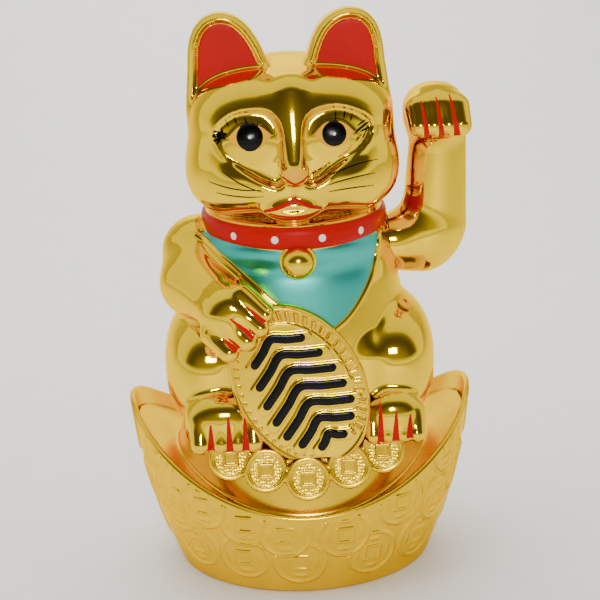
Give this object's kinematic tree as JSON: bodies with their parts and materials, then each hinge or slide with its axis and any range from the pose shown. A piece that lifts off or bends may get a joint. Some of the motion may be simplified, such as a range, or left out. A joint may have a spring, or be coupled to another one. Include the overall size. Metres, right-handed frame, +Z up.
{
  "type": "beckoning cat figurine",
  "caption": "Gold beckoning cat seated on a boat-shaped ingot base, holding an oval plaque, with a raised arm that swings on a pendulum axle above a battery compartment.",
  "frame": {"origin": "on the table under the middle of the ingot base's bounding box", "axes": "+Z up, -Y towards the front (the cat's face), +X to the cat's left, the side of its raised arm"},
  "size_m": [0.157, 0.124, 0.25],
  "materials": {
    "gold_shell": "vacuum-metallised mirror gold over glossy plastic",
    "gold_arm": "vacuum-metallised mirror gold over glossy plastic",
    "gold_ingot": "vacuum-metallised gold, softer than mirror, raised coin pattern",
    "gold_deck": "vacuum-metallised gold, satin in the dish, stippled coin faces",
    "gold_plaque": "satin gold with black lacquered raised strokes",
    "gold_bell": "mirror gold",
    "red_paint": "glossy red paint on the plastic",
    "turquoise_paint": "satin turquoise metallic paint",
    "black_enamel": "glossy black enamel",
    "eye_white": "matte orange-yellow paint",
    "black_cover": "fine textured black moulded plastic",
    "cell_jacket": "printed plastic sleeve, plain",
    "contact_steel": "nickel-plated sheet and wire",
    "switch_black": "moulded",
    "switch_white": "moulded",
    "screw_steel": "zinc-plated",
    "frame_white": "moulded",
    "bush_brass": "turned",
    "axle_steel": "ground",
    "lever_white": "moulded",
    "magnet_grey": "plated magnet",
    "weight_steel": "plain",
    "board_green": "solder-masked board",
    "coil_copper": "enamelled copper winding",
    "part_black": "moulded electronic parts",
    "wire_red": "insulated wire",
    "wire_black": "insulated wire"
  },
  "bodies": {
    "base": {"body_front_shell": "gold_shell", "body_rear_shell": "gold_shell", "koban_plaque": "gold_plaque", "collar_bell": "gold_bell", "ingot_wall": "gold_ingot", "ingot_deck": "gold_deck", "bottom_cover": "black_cover", "aa_battery": "cell_jacket", "battery_spring": "contact_steel", "spring_contact": "contact_steel", "cap_contact": "contact_steel", "switch_housing": "switch_black", "cover_screws": "screw_steel", "frame_screws": "screw_steel", "mechanism_frame": "frame_white", "bush_right": "bush_brass", "bush_left": "bush_brass", "circuit_board": "board_green", "coil_bobbin": "part_black", "drive_coil": "coil_copper", "board_components": "part_black", "lead_red": "wire_red", "lead_black": "wire_black"},
    "swing_arm": {"arm_front_shell": "gold_arm", "arm_rear_shell": "gold_arm", "pivot_axle": "axle_steel", "axle_clip": "axle_steel", "pendulum_lever": "lever_white", "pendulum_magnet": "magnet_grey", "counterweight": "weight_steel"},
    "door": {"battery_door": "black_cover"},
    "switch": {"switch_knob": "switch_white"}
  },
  "joints": [
    {"name": "arm_swing", "type": "hinge", "parent": "base", "child": "swing_arm", "pos_m": [0.045, 0.002, 0.145], "axis": [1, 0, 0], "range_deg": [-20, 20]},
    {"name": "door_hinge", "type": "hinge", "parent": "base", "child": "door", "pos_m": [0.0277, 0.01, 0.001], "axis": [0, -1, 0], "range_deg": [0, 90]},
    {"name": "switch_slide", "type": "slide", "parent": "base", "child": "switch", "axis": [1, 0, 0], "range_m": [0, 0.004]}
  ]
}
